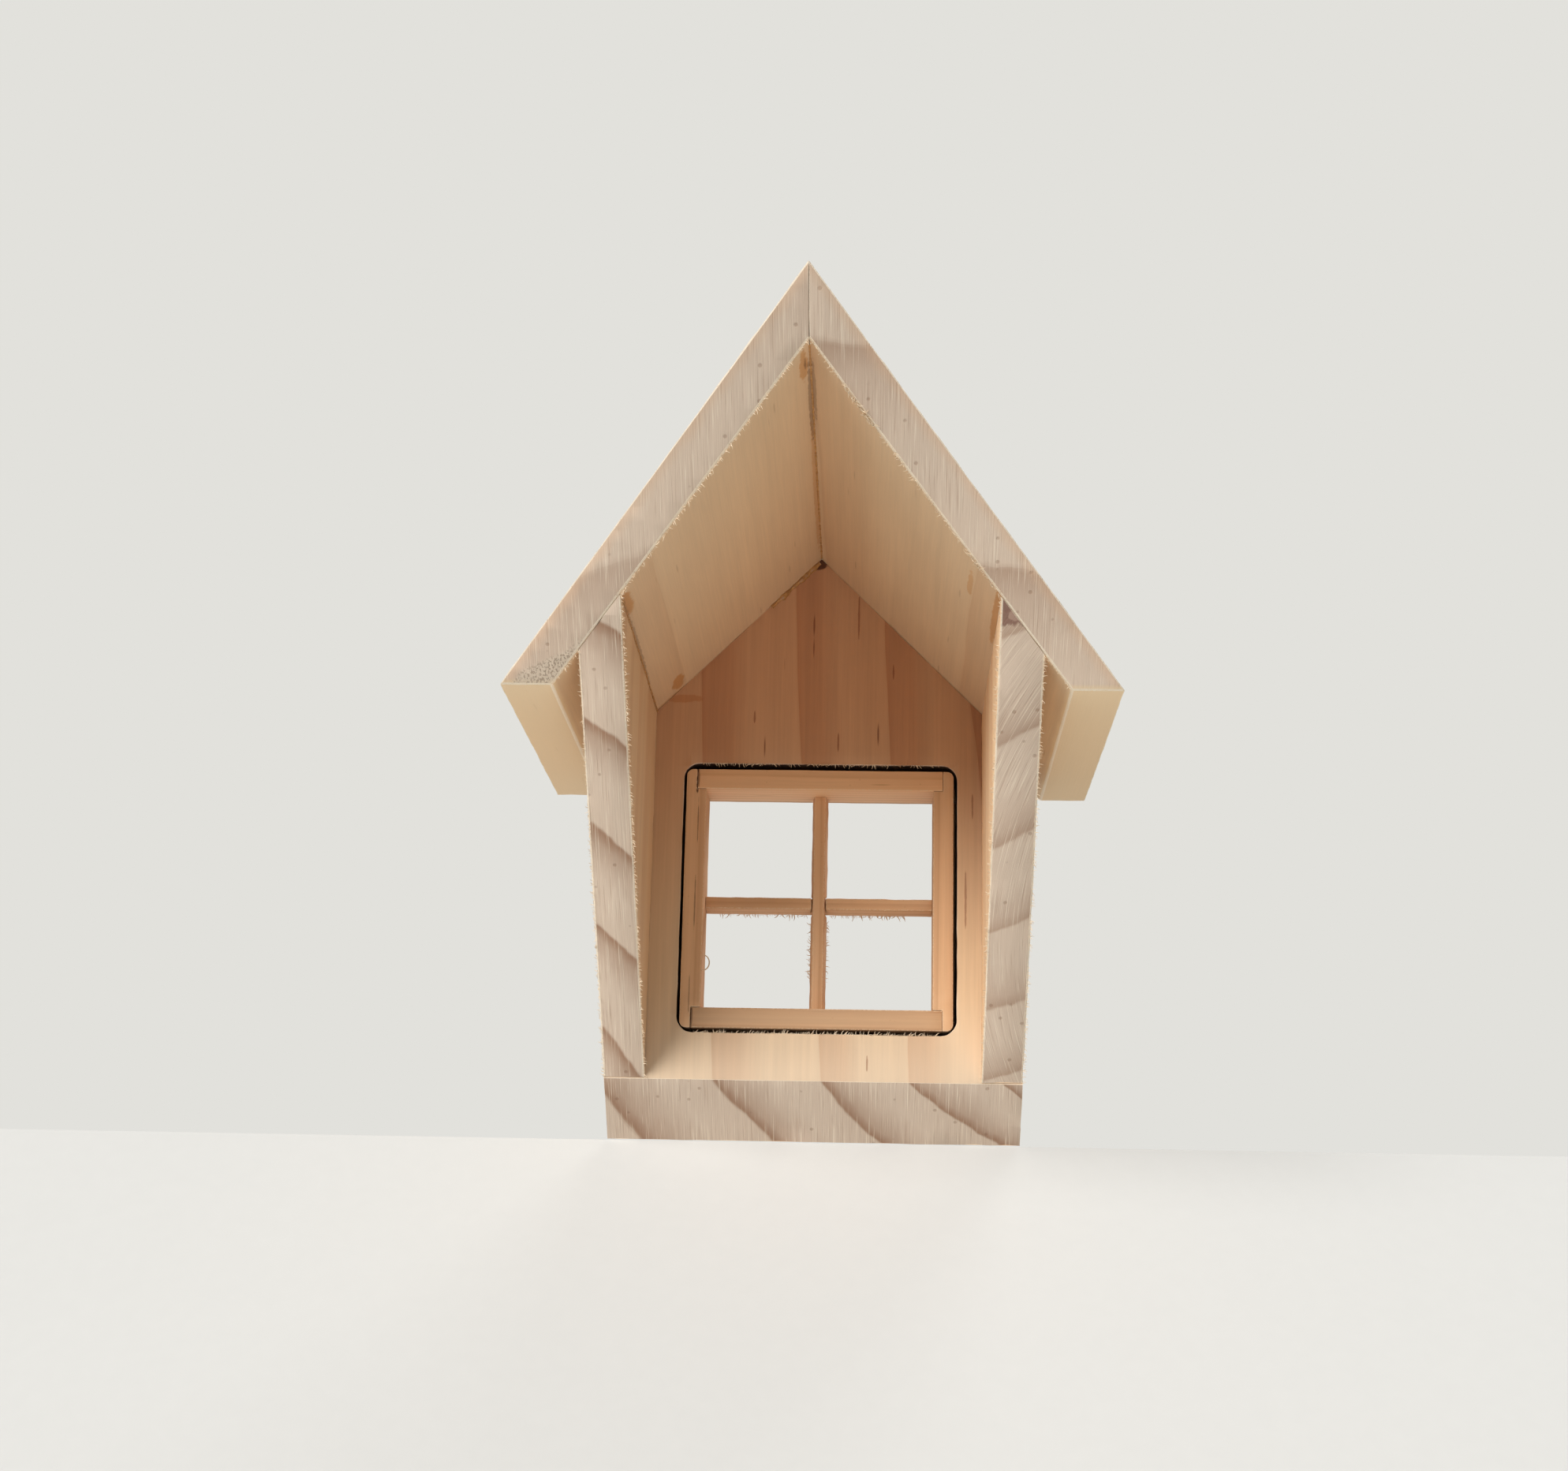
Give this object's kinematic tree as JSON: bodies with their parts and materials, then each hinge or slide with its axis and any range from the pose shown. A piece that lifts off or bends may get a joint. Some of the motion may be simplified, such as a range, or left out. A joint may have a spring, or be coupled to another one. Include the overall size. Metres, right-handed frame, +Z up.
{
  "type": "dollhouse dormer",
  "caption": "Bare wood gable dormer for a dollhouse roof: five glued boards, open slanted back, and a push-in four-light window that slides out to the front.",
  "frame": {"origin": "middle of the front wall's slanted foot, on the plane that sits on the house roof", "axes": "+Z up, +Y out through the window towards the street, -Y into the open back, +X to the right seen from the back"},
  "size_m": [0.1314, 0.1625, 0.1514],
  "materials": {
    "wall_pine": "bare sanded pine, sawn end grain on the slanted back",
    "roof_pine": "bare sanded pine, sawn end grain on the slanted back",
    "window_frame_wood": "bare fine-grained softwood",
    "muntin_wood": "bare milled stick, slightly fuzzy edges",
    "casing_wood": "bare fine-grained softwood"
  },
  "bodies": {
    "shell": {"front_wall": "wall_pine", "left_side_wall": "wall_pine", "right_side_wall": "wall_pine", "left_roof_board": "roof_pine", "right_roof_board": "roof_pine"},
    "window": {"window_left_jamb": "window_frame_wood", "window_right_jamb": "window_frame_wood", "window_header": "window_frame_wood", "window_sill": "window_frame_wood", "vertical_muntin": "muntin_wood", "horizontal_muntin": "muntin_wood", "left_casing": "casing_wood", "right_casing": "casing_wood", "head_casing": "casing_wood", "outer_sill": "casing_wood"}
  },
  "joints": [
    {"name": "window_slide", "type": "slide", "parent": "shell", "child": "window", "axis": [0, 1, 0], "range_m": [0, 0.0127]}
  ]
}
